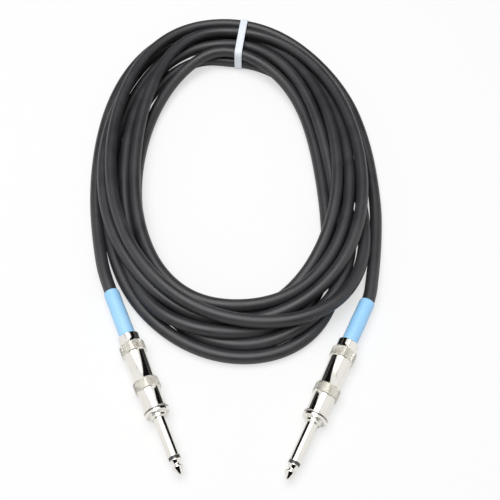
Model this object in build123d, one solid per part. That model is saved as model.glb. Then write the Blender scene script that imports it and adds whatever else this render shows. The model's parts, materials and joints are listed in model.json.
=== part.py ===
from build123d import *
import math
import os

# Instrument cable: two straight two-pole plugs on one shielded cable, coiled flat and tied.
# Millimetres, +Z up. The origin is on the table, midway between the two plugs; +Y runs from
# the plugs towards the coil. Each plug is built along its own axis u, with u = 0 at the
# shoulder that meets the socket, u > 0 on the finger and u < 0 inside the barrel.

# --- cable ---
CABLE_DIAMETER = 7.4
CORE_INSULATION_DIAMETER = 2.6
CONDUCTOR_DIAMETER = 1.0
SHIELD_PIGTAIL_DIAMETER = 1.4

# --- finger: the quarter-inch contact that enters the socket ---
FINGER_DIAMETER = 6.35
FINGER_LENGTH = 31.0            # shoulder to the end of the tip
SLEEVE_CONTACT_LENGTH = 21.6    # the earthed metal part of it
RING_LENGTH = 1.4               # insulating ring between sleeve and tip
RING_RELIEF = 0.20              # the ring stands this much inside the finger's surface
TIP_BASE_RADIUS = 2.75
TIP_BASE_LENGTH = 0.6
TIP_NECK_RADIUS = 1.75
TIP_NECK_START = 2.3            # from the ring
TIP_NECK_LENGTH = 0.4
TIP_FLARE_RADIUS = 2.85
TIP_FLARE_START = 3.9           # from the ring
TIP_FLARE_LENGTH = 0.4
TIP_NOSE_RADIUS = 0.95
TIP_NOSE_LENGTH = 0.5
TIP_END_RADIUS = 0.5

# --- sleeve body: collar, flange and threaded neck behind the shoulder ---
COLLAR_DIAMETER = 8.6
COLLAR_LENGTH = 2.0
FLANGE_DIAMETER = 13.0
FLANGE_LENGTH = 1.7
FLANGE_CHAMFER = 0.4
GROOVE_DIAMETER = 12.0
GROOVE_LENGTH = 0.6
LIP_DIAMETER = 13.6
LIP_LENGTH = 0.9
THREAD_DIAMETER = 10.5          # major diameter; the thread itself is a plain cylinder here
THREAD_LENGTH = 4.8
STAKE_DIAMETER = 6.0            # the end that is staked through the ground terminal
ROD_DIAMETER = 2.0
ROD_INSULATOR_WALL = 0.7
RIVET_DIAMETER = 3.4
RIVET_LENGTH = 0.8

# --- terminals ---
GROUND_RING_DIAMETER = 8.8
GROUND_THICKNESS = 0.6
GROUND_STRIP_WIDTH = 3.0
CLAMP_LENGTH = 6.0
CLAMP_BACK = 1.0                # wings to the cut end of the jacket
CLAMP_OPENING_ANGLE = 100.0     # the crimped wings leave this much of the cable bare
WASHER_DIAMETER = 8.4
WASHER_THICKNESS = 1.2
LUG_RING_DIAMETER = 5.2
LUG_THICKNESS = 0.6
LUG_TAIL_WIDTH = 2.2
LUG_TAIL_LENGTH = 6.5
TIP_SOLDER_RADIUS = 1.1
GROUND_SOLDER_RADIUS = 1.3
SOLDER_BACK = 1.6               # how far each solder drop lies in from the wire's end
SOLDER_FILM = 0.15              # solder between a wire and the terminal it is joined to
JACKET_END_GAP = 8.0            # lug tail's end to the cut end of the jacket
STRIPPED_CORE_LENGTH = 5.0      # core insulation left past the jacket
PIGTAIL_LENGTH = 7.0
CORE_STEP = (0.25, 0.85)        # where the core leaves its axis and reaches the lug, of the way there

# --- barrel and what it covers ---
BARREL_LENGTH = 45.0
BARREL_DIAMETER = 11.8
BARREL_REAR_ROUND = 1.4
BARREL_REAR_WALL = 2.6
RIM_ROUND_SHARE = 0.8           # the most of the rear rim's width that its rounding may take
KNURL_DIAMETER = 14.0
KNURL_LENGTH = 5.9
KNURL_CHAMFER = 0.35
REAR_KNURL_START = 5.5          # from the barrel's rear end
FRONT_KNURL_START = 28.4
LINER_WALL = 0.35
LINER_CLEARANCE = 0.10          # radial, liner in barrel
LINER_END_GAP = 0.3
THREAD_CLEARANCE = 0.05         # radial, barrel on neck
THREAD_RUNOUT = 0.3

# --- heat-shrink sleeve ---
HEAT_SHRINK_WALL = 0.75
HEAT_SHRINK_EXPOSED = 31.0      # behind the barrel
HEAT_SHRINK_HIDDEN = 3.0        # inside the barrel
REAR_BORE_CLEARANCE = 0.25      # radial, sleeve in the barrel's rear opening

# --- places on the table ---
# end name: (shoulder x, shoulder y, angle of the plug's axis from -Y towards +X in degrees)
PLUG_PLACES = {"a": (-40.5, -22.5, 24.0), "b": (37.7, -25.4, -26.3)}
PLUG_AXIS_HEIGHT = KNURL_DIAMETER / 2
FLOOR_HEIGHT = CABLE_DIAMETER / 2

# Free cable from the heat-shrink sleeve to the coil: distance of the first corner from the
# sleeve, then the corners (x, y, height of the cable's centre above its place on the table).
LEAD_FIRST_RUN = {"a": 13.0, "b": 12.0}
LEAD_POINTS = {
    "a": [(-83.2, 80.0, 1.6), (-86.9, 98.0, 0.2), (-89.6, 118.0, 0.0), (-88.4, 137.0, 0.0)],
    "b": [(81.8, 73.5, 1.8), (84.2, 91.0, 0.4), (85.6, 111.0, 0.0), (85.7, 133.5, 0.0),
          (83.6, 156.5, 0.0), (79.4, 179.5, 0.0), (72.5, 201.5, 0.0), (62.5, 221.0, 0.0),
          (50.5, 236.5, 0.0)],
}
ARC_SHARE = 0.45                # of the shorter run that each rounded corner takes

# --- coil: the outer form of six and a half loose turns ---
COIL_CENTRE = (-6.0, 136.4)
COIL_OUTER = (84.5, 155.0, 124.0)   # half width, reach towards +Y, reach towards -Y
COIL_INNER = (56.0, 107.0, 88.0)
COIL_INNER_SHIFT = -1.5         # the hole lies this much towards -X
COIL_LEAN = -0.04               # sideways shift per millimetre of +Y
COIL_POWER = 2.2                # 2 is an ellipse, more is squarer
COIL_OUTLINE_POINTS = 32
COIL_LAYERS = 2
COIL_EDGE_ROUND = 6.0
LEVEL = 1e-3                    # an edge that rises less than this is level

# --- tie: a flat strap round the coil's far side ---
TIE_CENTRE = (0.1, 266.4)
TIE_ANGLE = 83.0                # direction of the strap across the bundle, from +X
TIE_WIDTH = 5.2
TIE_THICKNESS = 1.1
TIE_SPAN = 47.6
TIE_CORNER = 5.5
TWIST_LENGTH = 11.0             # twisted ends, folded along the back of the bundle
TWIST_DIAMETER = 3.0


def turned(profile):
    """Solid of revolution about the plug's axis, from (radius, u) points."""
    return revolve(Plane.XZ * make_face(Polyline(*profile, close=True)), Axis.Z)


def tube(outer_radius, inner_radius, start, end):
    """Straight tube along the plug's axis, from u = start to u = end."""
    return turned([(inner_radius, start), (outer_radius, start), (outer_radius, end), (inner_radius, end)])


def rod(radius, start, end):
    """Straight round bar on the plug's axis."""
    return turned([(0, start), (radius, start), (radius, end), (0, end)])


def slab(x_low, x_high, width, start, end):
    """Flat bar along the plug's axis, between two distances from it, centred sideways."""
    bar = Box(x_high - x_low, width, end - start)
    return Pos((x_low + x_high) / 2, 0, (start + end) / 2) * bar


# Stations along the plug's axis, all from the sizes above.
finger_radius = FINGER_DIAMETER / 2
ring_end = SLEEVE_CONTACT_LENGTH + RING_LENGTH
flange_front = -COLLAR_LENGTH
groove_front = flange_front - FLANGE_LENGTH
lip_front = groove_front - GROOVE_LENGTH
neck_front = lip_front - LIP_LENGTH
neck_end = neck_front - THREAD_LENGTH
ground_end = neck_end - GROUND_THICKNESS
washer_end = ground_end - WASHER_THICKNESS
lug_end = washer_end - LUG_THICKNESS
rivet_end = lug_end - RIVET_LENGTH
tail_end = lug_end - LUG_TAIL_LENGTH
jacket_end = tail_end - JACKET_END_GAP
core_end = jacket_end + STRIPPED_CORE_LENGTH
pigtail_end = jacket_end + PIGTAIL_LENGTH
clamp_front = jacket_end - CLAMP_BACK
clamp_end = clamp_front - CLAMP_LENGTH
barrel_end = neck_front - BARREL_LENGTH
rear_wall_front = barrel_end + BARREL_REAR_WALL
sleeve_start = barrel_end + HEAT_SHRINK_HIDDEN
sleeve_end = barrel_end - HEAT_SHRINK_EXPOSED

# Radii that follow from each other.
cable_radius = CABLE_DIAMETER / 2
rod_radius = ROD_DIAMETER / 2
rod_insulator_radius = rod_radius + ROD_INSULATOR_WALL
shrink_radius = cable_radius + HEAT_SHRINK_WALL
rear_bore_radius = shrink_radius + REAR_BORE_CLEARANCE
liner_inner_radius = rear_bore_radius
liner_outer_radius = liner_inner_radius + LINER_WALL
barrel_bore_radius = liner_outer_radius + LINER_CLEARANCE
strip_outer = cable_radius + GROUND_THICKNESS
tail_outer = LUG_RING_DIAMETER / 2
tail_inner = tail_outer - LUG_THICKNESS
wire_offset = tail_inner - SOLDER_FILM - CONDUCTOR_DIAMETER / 2
pigtail_offset = -cable_radius + SOLDER_FILM + SHIELD_PIGTAIL_DIAMETER / 2


def tip_contact():
    """Tip, centre rod and the rivet that closes the stack, turned from one bar."""
    flare_end = ring_end + TIP_FLARE_START + TIP_FLARE_LENGTH
    nose_start = FINGER_LENGTH - TIP_NOSE_LENGTH
    return turned([
        (0, rivet_end), (RIVET_DIAMETER / 2, rivet_end), (RIVET_DIAMETER / 2, lug_end),
        (rod_radius, lug_end), (rod_radius, ring_end), (TIP_BASE_RADIUS, ring_end),
        (TIP_BASE_RADIUS, ring_end + TIP_BASE_LENGTH), (TIP_NECK_RADIUS, ring_end + TIP_NECK_START),
        (TIP_NECK_RADIUS, ring_end + TIP_NECK_START + TIP_NECK_LENGTH),
        (TIP_FLARE_RADIUS, ring_end + TIP_FLARE_START), (TIP_FLARE_RADIUS, flare_end),
        (TIP_NOSE_RADIUS, nose_start), (TIP_END_RADIUS, FINGER_LENGTH), (0, FINGER_LENGTH),
    ])


def tip_ring():
    return tube(finger_radius - RING_RELIEF, rod_radius, SLEEVE_CONTACT_LENGTH, ring_end)


def rod_insulator():
    return tube(rod_insulator_radius, rod_radius, ground_end, SLEEVE_CONTACT_LENGTH)


def sleeve_body():
    """Finger sleeve, collar, flange with its lip, threaded neck and staked end in one piece."""
    flange_radius = FLANGE_DIAMETER / 2
    return turned([
        (rod_insulator_radius, SLEEVE_CONTACT_LENGTH), (finger_radius, SLEEVE_CONTACT_LENGTH),
        (finger_radius, 0), (COLLAR_DIAMETER / 2, 0), (COLLAR_DIAMETER / 2, flange_front),
        (flange_radius - FLANGE_CHAMFER, flange_front), (flange_radius, flange_front - FLANGE_CHAMFER),
        (flange_radius, groove_front), (GROOVE_DIAMETER / 2, groove_front),
        (GROOVE_DIAMETER / 2, lip_front), (LIP_DIAMETER / 2, lip_front), (LIP_DIAMETER / 2, neck_front),
        (THREAD_DIAMETER / 2, neck_front), (THREAD_DIAMETER / 2, neck_end),
        (STAKE_DIAMETER / 2, neck_end), (STAKE_DIAMETER / 2, ground_end),
        (rod_insulator_radius, ground_end),
    ])


def ground_terminal():
    """Ring on the staked end, strip along the cable and wings crimped round its jacket."""
    ring = tube(GROUND_RING_DIAMETER / 2, STAKE_DIAMETER / 2, ground_end, neck_end)
    strip = slab(-strip_outer, -cable_radius, GROUND_STRIP_WIDTH, clamp_end, neck_end)
    wings = tube(strip_outer, cable_radius, clamp_end, clamp_front)
    reach = 4 * cable_radius
    half_opening = math.radians(CLAMP_OPENING_ANGLE / 2)
    side = reach * math.tan(half_opening)
    mouth = extrude(make_face(Polyline((0, 0), (reach, side), (reach, -side), close=True)), CLAMP_LENGTH)
    return ring + strip + (wings - Pos(0, 0, clamp_end) * mouth)


def terminal_washer():
    return tube(WASHER_DIAMETER / 2, rod_radius, washer_end, ground_end) - slab(
        -strip_outer, -cable_radius, GROUND_STRIP_WIDTH, washer_end, ground_end)


def tip_terminal():
    """Lug ring under the rivet, with a tail bent back along the cable."""
    ring = tube(LUG_RING_DIAMETER / 2, rod_radius, lug_end, washer_end)
    tail = slab(tail_inner, tail_outer, LUG_TAIL_WIDTH, tail_end, lug_end + LUG_THICKNESS)
    return ring + tail


def cable_end():
    """The jacketed cable from its cut end to the end of the heat-shrink sleeve."""
    return rod(cable_radius, sleeve_end, jacket_end)


def core_insulation():
    return rod(CORE_INSULATION_DIAMETER / 2, jacket_end, core_end)


def core_conductor():
    """Bare core from its insulation, stepped sideways onto the lug's tail."""
    step_start, step_end = (core_end + share * (tail_end - core_end) for share in CORE_STEP)
    corners = [(0, 0, core_end), (0, 0, step_start), (wire_offset, 0, step_end),
               (wire_offset, 0, tail_end + LUG_TAIL_LENGTH / 2)]
    path = FilletPolyline(*corners, radius=CONDUCTOR_DIAMETER).wires()[0]
    return sweep(Pos(0, 0, core_end) * Circle(CONDUCTOR_DIAMETER / 2), path=path)


def shield_pigtail():
    return Pos(pigtail_offset, 0, (jacket_end + pigtail_end) / 2) * Cylinder(
        SHIELD_PIGTAIL_DIAMETER / 2, PIGTAIL_LENGTH)


def solder_on_tip():
    place = Pos(wire_offset, 0, tail_end + LUG_TAIL_LENGTH / 2 - SOLDER_BACK)
    return place * Sphere(TIP_SOLDER_RADIUS) - tip_terminal() - core_conductor()


def solder_on_ground():
    drop = Pos(pigtail_offset, 0, pigtail_end - SOLDER_BACK) * Sphere(GROUND_SOLDER_RADIUS)
    return drop - ground_terminal() - shield_pigtail()


def heat_shrink():
    return tube(shrink_radius, cable_radius, sleeve_end, sleeve_start)


def insulating_liner():
    """Thin plastic tube that keeps the terminals off the barrel."""
    return tube(liner_outer_radius, liner_inner_radius, rear_wall_front + LINER_END_GAP, ground_end)


def barrel():
    """Turned barrel with two raised knurled bands, bored for the liner and for the neck."""
    outer = BARREL_DIAMETER / 2
    knurl = KNURL_DIAMETER / 2
    thread_bore = THREAD_DIAMETER / 2 + THREAD_CLEARANCE
    thread_bore_end = neck_end - THREAD_RUNOUT
    profile = [(rear_bore_radius, barrel_end), (outer, barrel_end)]
    for start in (REAR_KNURL_START, FRONT_KNURL_START):
        low = barrel_end + start
        high = low + KNURL_LENGTH
        profile += [(outer, low), (knurl - KNURL_CHAMFER, low), (knurl, low + KNURL_CHAMFER),
                    (knurl, high - KNURL_CHAMFER), (knurl - KNURL_CHAMFER, high), (outer, high)]
    profile += [(outer, neck_front), (thread_bore, neck_front), (thread_bore, thread_bore_end),
                (barrel_bore_radius, thread_bore_end), (barrel_bore_radius, rear_wall_front),
                (rear_bore_radius, rear_wall_front)]
    body = turned(profile)
    rear_rim = body.edges().filter_by(GeomType.CIRCLE).group_by(Axis.Z)[0].sort_by(SortBy.RADIUS)[-1]
    return fillet(rear_rim, min(BARREL_REAR_ROUND, RIM_ROUND_SHARE * (outer - rear_bore_radius)))


PLUG_PIECES = {
    "tip_contact": tip_contact, "tip_ring": tip_ring, "rod_insulator": rod_insulator,
    "sleeve_body": sleeve_body, "ground_terminal": ground_terminal,
    "terminal_washer": terminal_washer, "tip_terminal": tip_terminal,
    "cable_end": cable_end, "core_insulation": core_insulation, "core_conductor": core_conductor,
    "shield_pigtail": shield_pigtail, "solder_on_tip": solder_on_tip,
    "solder_on_ground": solder_on_ground, "heat_shrink": heat_shrink,
    "insulating_liner": insulating_liner, "barrel": barrel,
}


def plug_frame(end):
    """The plug's own frame on the table: u along its axis, its ground strip underneath."""
    x, y, angle = PLUG_PLACES[end]
    heading = math.radians(angle)
    along = (math.sin(heading), -math.cos(heading), 0)
    return Plane(origin=(x, y, PLUG_AXIS_HEIGHT), x_dir=(0, 0, 1), z_dir=along)


def lead_route(end):
    """Corners of the free cable, from the heat-shrink sleeve's end into the coil."""
    frame = plug_frame(end)
    exit_point = frame.from_local_coords(Vector(0, 0, sleeve_end))
    first_corner = frame.from_local_coords(Vector(0, 0, sleeve_end - LEAD_FIRST_RUN[end]))
    rest = [Vector(x, y, FLOOR_HEIGHT + rise) for x, y, rise in LEAD_POINTS[end]]
    return [exit_point, first_corner] + rest


def corner_radii(route):
    """Largest bend at each corner: a share of the shorter run, over the tangent of half the turn."""
    radii = []
    for before, corner, after in zip(route, route[1:], route[2:]):
        run_in = corner - before
        run_out = after - corner
        half_turn = math.radians(run_in.get_angle(run_out)) / 2
        radii.append(ARC_SHARE * min(run_in.length, run_out.length) / math.tan(half_turn))
    return radii


def cable_lead(end):
    route = lead_route(end)
    radii = corner_radii(route)
    path = FilletPolyline(*route, radius=radii).wires()[0]
    start = Plane(origin=route[0], z_dir=route[1] - route[0])
    solid = sweep(start * Circle(cable_radius), path=path)
    expected = math.pi * cable_radius ** 2 * path.length
    print(f"cable_lead_{end}: length {path.length:.1f}, radii", [round(r) for r in radii],
          f"volume {solid.volume:.0f}, section times length {expected:.0f}")
    return solid


def coil_outline(size, shift):
    """Closed oval: signed powers of cosine and sine, its two ends of different reach, leaning."""
    half_width, far_reach, near_reach = size
    points = []
    for step in range(COIL_OUTLINE_POINTS):
        angle = 2 * math.pi * step / COIL_OUTLINE_POINTS
        across = math.copysign(abs(math.cos(angle)) ** (2 / COIL_POWER), math.cos(angle))
        along = math.copysign(abs(math.sin(angle)) ** (2 / COIL_POWER), math.sin(angle))
        y = (far_reach if along > 0 else near_reach) * along
        x = half_width * across + shift + COIL_LEAN * y
        points.append((COIL_CENTRE[0] + x, COIL_CENTRE[1] + y))
    return make_face(Spline(*points, periodic=True))


def tie_frame():
    """At the strap's place on the table: x across the bundle, y up, z along the cable."""
    across = math.radians(TIE_ANGLE)
    return Plane(origin=(*TIE_CENTRE, 0), x_dir=(math.cos(across), math.sin(across), 0),
                 z_dir=(math.sin(across), -math.cos(across), 0))


def cable_tie():
    """Strap round the bundle, its twisted ends folded along the back."""
    height = COIL_LAYERS * CABLE_DIAMETER
    outer = RectangleRounded(TIE_SPAN, height, TIE_CORNER)
    inner = RectangleRounded(TIE_SPAN - 2 * TIE_THICKNESS, height - 2 * TIE_THICKNESS,
                             TIE_CORNER - TIE_THICKNESS)
    strap = extrude(Pos(0, height / 2) * (outer - inner), TIE_WIDTH / 2, both=True)
    twist_height = height / 2
    twist = Pos(TIE_SPAN / 2 + TWIST_DIAMETER / 2 - TIE_THICKNESS, twist_height, TWIST_LENGTH / 2) * Cylinder(
        TWIST_DIAMETER / 2, TWIST_LENGTH)
    return tie_frame().location * (strap + twist)


def cable_coil(tie):
    """Outer form of the coiled cable, with the strap's groove."""
    ring = extrude(coil_outline(COIL_OUTER, 0) - coil_outline(COIL_INNER, COIL_INNER_SHIFT),
                   COIL_LAYERS * CABLE_DIAMETER)
    level_edges = ring.edges().filter_by(lambda edge: edge.bounding_box().size.Z < LEVEL)
    return fillet(level_edges, COIL_EDGE_ROUND) - tie


parts = {}
for end in PLUG_PLACES:
    place = plug_frame(end).location
    for name, build in PLUG_PIECES.items():
        parts[f"{name}_{end}"] = place * build()
    parts[f"cable_lead_{end}"] = cable_lead(end)
parts["cable_tie"] = cable_tie()
parts["cable_coil"] = cable_coil(parts["cable_tie"])

os.makedirs("parts", exist_ok=True)
for name, solid in parts.items():
    export_step(solid, f"parts/{name}.step")
print(len(parts), "pieces")
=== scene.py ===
# %% [markdown]
# # Dressing an instrument cable
#
# The working model of this cable is already made: two straight plugs, their screw-on barrels and
# the parts that hide inside them, as exact solids. This lesson keeps that model as a fixed frame
# and gives it its looks. Turned metal becomes finely rounded surfaces of revolution, the coiled
# cable becomes one long curve that settles under its own weight, and every surface gets a
# material worked out by nodes.
#
# All lengths below are written in millimetres and turned into metres by `MM`.

# %% Load the frame
import json
import math

import bmesh
import bpy
import numpy as np
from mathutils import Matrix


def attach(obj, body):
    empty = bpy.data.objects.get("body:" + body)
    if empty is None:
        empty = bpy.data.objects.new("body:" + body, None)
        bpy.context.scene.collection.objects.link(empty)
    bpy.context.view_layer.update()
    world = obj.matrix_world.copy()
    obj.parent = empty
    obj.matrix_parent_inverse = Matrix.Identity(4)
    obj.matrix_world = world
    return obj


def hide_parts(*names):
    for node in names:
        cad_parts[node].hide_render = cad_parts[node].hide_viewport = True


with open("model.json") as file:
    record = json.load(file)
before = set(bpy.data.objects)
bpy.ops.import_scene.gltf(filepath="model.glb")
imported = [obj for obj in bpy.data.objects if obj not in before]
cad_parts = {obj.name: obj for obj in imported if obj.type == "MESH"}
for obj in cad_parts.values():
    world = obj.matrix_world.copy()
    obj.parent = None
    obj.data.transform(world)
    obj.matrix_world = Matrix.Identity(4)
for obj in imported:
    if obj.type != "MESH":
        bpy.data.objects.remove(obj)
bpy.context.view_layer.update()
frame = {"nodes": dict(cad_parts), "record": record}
scene = bpy.context.scene
MM = 0.001

# %% [markdown]
# ## The camera
#
# A product picture of a coil is taken from above and in front, so that the oval of the cable
# and both plugs show at once. The camera looks 57 degrees down at a point near the middle of
# the coil. A turn about X alone keeps the horizon level.

# %% Camera
def in_scene(name, data):
    """A new object that shows `data`, linked into the scene."""
    made = bpy.data.objects.new(name, data)
    scene.collection.objects.link(made)
    return made


TARGET = np.array([6.0, 84.9, 0.0]) * MM
DISTANCE = 411 * MM
ELEVATION = math.radians(57)
LENS = 48.7

camera = in_scene("camera", bpy.data.cameras.new("camera"))
camera.data.lens = LENS
camera.location = TARGET + DISTANCE * np.array([0, -math.cos(ELEVATION), math.sin(ELEVATION)])
camera.rotation_euler = (math.pi / 2 - ELEVATION, 0, 0)
scene.camera = camera
print("camera at", tuple(round(v, 3) for v in camera.location))

# %% [markdown]
# ## Small helpers for shader nodes
#
# Materials here are node trees. `add` makes one node, sets its properties and fills its inputs:
# an input is given either a plain value or another node's output, which is then linked.
# `effect` makes a reusable group with named sockets, so that one effect, such as fine grain,
# is built once and placed in many materials with different numbers.

# %% Node helpers
def add(tree, kind, inputs=None, **settings):
    """One shader node, its properties from `settings` and its sockets from `inputs`. A node
    given as an input stands for its first output."""
    made = tree.nodes.new(kind)
    for name, value in settings.items():
        setattr(made, name, value)
    for name, value in (inputs or {}).items():
        value = value.outputs[0] if isinstance(value, bpy.types.Node) else value
        if isinstance(value, bpy.types.NodeSocket):
            tree.links.new(value, made.inputs[name])
        else:
            made.inputs[name].default_value = value
    return made


def effect(name, inputs, outputs):
    """An empty node group with named float inputs, and outputs of the given socket types."""
    group = bpy.data.node_groups.new(name, "ShaderNodeTree")
    for label, value in inputs.items():
        socket = group.interface.new_socket(label, in_out="INPUT", socket_type="NodeSocketFloat")
        socket.default_value = value
    for label, kind in outputs.items():
        group.interface.new_socket(label, in_out="OUTPUT", socket_type=kind)
    return group, add(group, "NodeGroupInput"), add(group, "NodeGroupOutput")


def blank(name):
    """A new material, its node tree, and its Principled shader."""
    material = bpy.data.materials.new(name)
    material.use_nodes = True
    return material, material.node_tree, material.node_tree.nodes["Principled BSDF"]


def mix_colours(tree, factor, first, second):
    """Colour that runs from `first`, a colour or another node's output, to `second`, as `factor`
    goes from 0 to 1. A Mix node's sockets 6 and 7 and its output 2 are the ones for colours."""
    first = first if isinstance(first, bpy.types.NodeSocket) else (*first, 1)
    mixed = add(tree, "ShaderNodeMix", {0: factor, 6: first, 7: (*second, 1)}, data_type="RGBA")
    return mixed.outputs[2]


def remap(tree, value, low, high):
    """A mask of 0 to 1 stretched to run from `low` to `high`."""
    stretched = add(tree, "ShaderNodeMapRange", {"Value": value, "To Min": low, "To Max": high})
    return stretched.outputs[0]


print("node helpers ready")

# %% [markdown]
# ## Three shared effects
#
# - *grain* is the fine roughness of moulded or extruded plastic: small noise, used as a bump.
# - *smudges* are the large soft clouds that handling leaves on any surface, used as a mask.
# - *turning* is what a lathe leaves: lines that run round the part. It reads the surface's own
#   map, whose second coordinate runs along the part, and makes a bump of noise stretched round
#   it.

# %% Effect groups
ROUND_SHARE = 0.02


def bumped(group, given, out, noise):
    """The group, with a normal put out from a bump of the noise, `Depth` metres deep."""
    bump = add(group, "ShaderNodeBump", {"Height": noise, "Distance": given.outputs["Depth"]})
    group.links.new(bump.outputs[0], out.inputs["Normal"])
    return group


def grain_effect():
    """A bump of noise, `Scale` cells a metre."""
    group, given, out = effect("grain", {"Scale": 2000, "Depth": 0.00002},
                               {"Normal": "NodeSocketVector"})
    place = add(group, "ShaderNodeTexCoord").outputs["Object"]
    noise = add(group, "ShaderNodeTexNoise", {"Vector": place, "Scale": given.outputs["Scale"],
                                              "Detail": 6, "Roughness": 0.6})
    return bumped(group, given, out, noise)


def smudge_effect():
    """Soft clouds of `Scale` a metre, as a mask from 0 to 1."""
    group, given, out = effect("smudges", {"Scale": 60}, {"Mask": "NodeSocketFloat"})
    place = add(group, "ShaderNodeTexCoord").outputs["Object"]
    noise = add(group, "ShaderNodeTexNoise", {"Vector": place, "Scale": given.outputs["Scale"],
                                              "Detail": 3, "Distortion": 0.6})
    clouds = add(group, "ShaderNodeMapRange", {"Value": noise, "From Min": 0.35, "From Max": 0.7})
    group.links.new(clouds.outputs[0], out.inputs["Mask"])
    return group


def turning_effect():
    """Lines round a turned part: a bump of noise that changes `Lines` times for each millimetre
    along it and `ROUND_SHARE` times for each millimetre round it."""
    group, given, out = effect("turning", {"Lines": 6, "Depth": 0.000001},
                               {"Normal": "NodeSocketVector"})
    place = add(group, "ShaderNodeUVMap", uv_map="surface").outputs[0]
    split = add(group, "ShaderNodeSeparateXYZ", {0: place})
    round_it = add(group, "ShaderNodeMath", {0: split, 1: ROUND_SHARE}, operation="MULTIPLY")
    along = add(group, "ShaderNodeMath", {0: split.outputs[1], 1: given.outputs["Lines"]},
                operation="MULTIPLY")
    stretched = add(group, "ShaderNodeCombineXYZ", {0: round_it, 1: along})
    noise = add(group, "ShaderNodeTexNoise", {"Vector": stretched, "Scale": 1, "Detail": 4})
    return bumped(group, given, out, noise)


EFFECTS = {"grain": grain_effect(), "smudges": smudge_effect(), "turning": turning_effect()}


def place_effect(tree, name, **values):
    """One of the shared effects in a material, with this material's own numbers."""
    made = add(tree, "ShaderNodeGroup", node_tree=EFFECTS[name])
    for label, value in values.items():
        made.inputs[label].default_value = value
    return made


print("effects:", ", ".join(EFFECTS))

# %% [markdown]
# ## Metals
#
# The plugs are brass, turned and plated with bright nickel. Nickel is a little warmer than
# chrome. Its reflections make the picture, so the roughness is low, and only the lathe's lines
# and faint smudges break it. The parts inside are tinned brass, bare copper and solder: the
# same recipe with other colours and more roughness.

# %% Metal materials
# Near-black painted into recesses as shade: knurl grooves, the thread's root, the flange's groove
# and the barrel's front rim.
PAINTED_SHADE = (0.10, 0.09, 0.08)
METAL_CLOUDS = 70


def cloudy(tree, shader, scale, colour, second, roughness):
    """Clouds of `scale` a metre move the roughness through its range, and a colour, which is
    handed back, from `colour` to `second`."""
    clouds = place_effect(tree, "smudges", Scale=scale).outputs["Mask"]
    tree.links.new(remap(tree, clouds, *roughness), shader.inputs["Roughness"])
    return mix_colours(tree, clouds, colour, second)


def metal(name, colour, dull_colour, roughness, lines=6.0, depth=0.6e-6):
    """Plated or bare metal with smudges and the lathe's lines. Where the piece's "groove"
    attribute rises to 1, it darkens to a near-black: painted shade in recesses."""
    material, tree, shader = blank(name)
    clean = cloudy(tree, shader, METAL_CLOUDS, colour, dull_colour, roughness)
    groove = add(tree, "ShaderNodeAttribute", attribute_name="groove").outputs["Fac"]
    lathe_lines = place_effect(tree, "turning", Lines=lines, Depth=depth)
    shader.inputs["Metallic"].default_value = 1
    tree.links.new(mix_colours(tree, groove, clean, PAINTED_SHADE), shader.inputs["Base Color"])
    tree.links.new(lathe_lines.outputs["Normal"], shader.inputs["Normal"])
    return material


plug_nickel = metal("plug_nickel", (0.84, 0.82, 0.77), (0.79, 0.77, 0.72), (0.04, 0.09))
barrel_nickel = metal("barrel_nickel", (0.84, 0.82, 0.77), (0.79, 0.77, 0.71), (0.04, 0.10),
                      lines=4)
tinned_brass = metal("tinned_brass", (0.74, 0.71, 0.64), (0.62, 0.58, 0.48), (0.25, 0.42),
                     depth=2e-6)
bare_copper = metal("bare_copper", (0.86, 0.47, 0.30), (0.60, 0.28, 0.16), (0.22, 0.45),
                    depth=2e-6)
bright_solder = metal("bright_solder", (0.72, 0.72, 0.74), (0.55, 0.55, 0.58), (0.15, 0.38),
                      depth=3e-6)
metals = (plug_nickel, barrel_nickel, tinned_brass, bare_copper, bright_solder)
print("metals:", ", ".join(made.name for made in metals))

# %% [markdown]
# ## Plastics and rubber
#
# The jacket is soft charcoal vinyl, matt, with grain far finer than its width and a little grey
# dust. The heat-shrink is sky-blue polyolefin, satin, shrunk tight. The insulators are moulded.
# Each one is the same recipe: two close colours moved by clouds, grain in the bump, and
# roughness that follows the clouds.

# %% Plastic materials
PLASTIC_CLOUDS = 45


def plastic(name, colour, second, roughness, scale, depth, transmission=0.0):
    """Moulded or extruded plastic: clouds in colour and roughness, grain in the bump."""
    material, tree, shader = blank(name)
    surface = cloudy(tree, shader, PLASTIC_CLOUDS, colour, second, roughness)
    grain = place_effect(tree, "grain", Scale=scale, Depth=depth)
    shader.inputs["Transmission Weight"].default_value = transmission
    tree.links.new(surface, shader.inputs["Base Color"])
    tree.links.new(grain.outputs["Normal"], shader.inputs["Normal"])
    return material


jacket = plastic("charcoal_jacket", (0.023, 0.023, 0.026), (0.035, 0.035, 0.038), (0.36, 0.48),
                 2600, 0.00003)
blue_shrink = plastic("sky_blue_shrink", (0.33, 0.65, 0.98), (0.40, 0.70, 0.99), (0.38, 0.50),
                      1500, 0.00002)
ring_black = plastic("ring_black", (0.035, 0.035, 0.038), (0.05, 0.05, 0.05), (0.22, 0.35),
                     3000, 0.000004)
cream_insulator = plastic("cream_insulator", (0.85, 0.81, 0.72), (0.78, 0.73, 0.62), (0.4, 0.5),
                          2500, 0.00001)
core_white = plastic("core_white", (0.88, 0.88, 0.86), (0.82, 0.82, 0.80), (0.35, 0.5),
                     3000, 0.000006)
tie_white = plastic("tie_white", (0.80, 0.85, 0.92), (0.86, 0.90, 0.95), (0.22, 0.36),
                    2500, 0.000005)
clear_liner = plastic("clear_liner", (0.86, 0.89, 0.92), (0.90, 0.92, 0.94), (0.15, 0.25),
                      2500, 0.000004, transmission=0.6)
plastics = (jacket, blue_shrink, ring_black, cream_insulator, core_white, tie_white, clear_liner)
print("plastics:", ", ".join(made.name for made in plastics))

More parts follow.
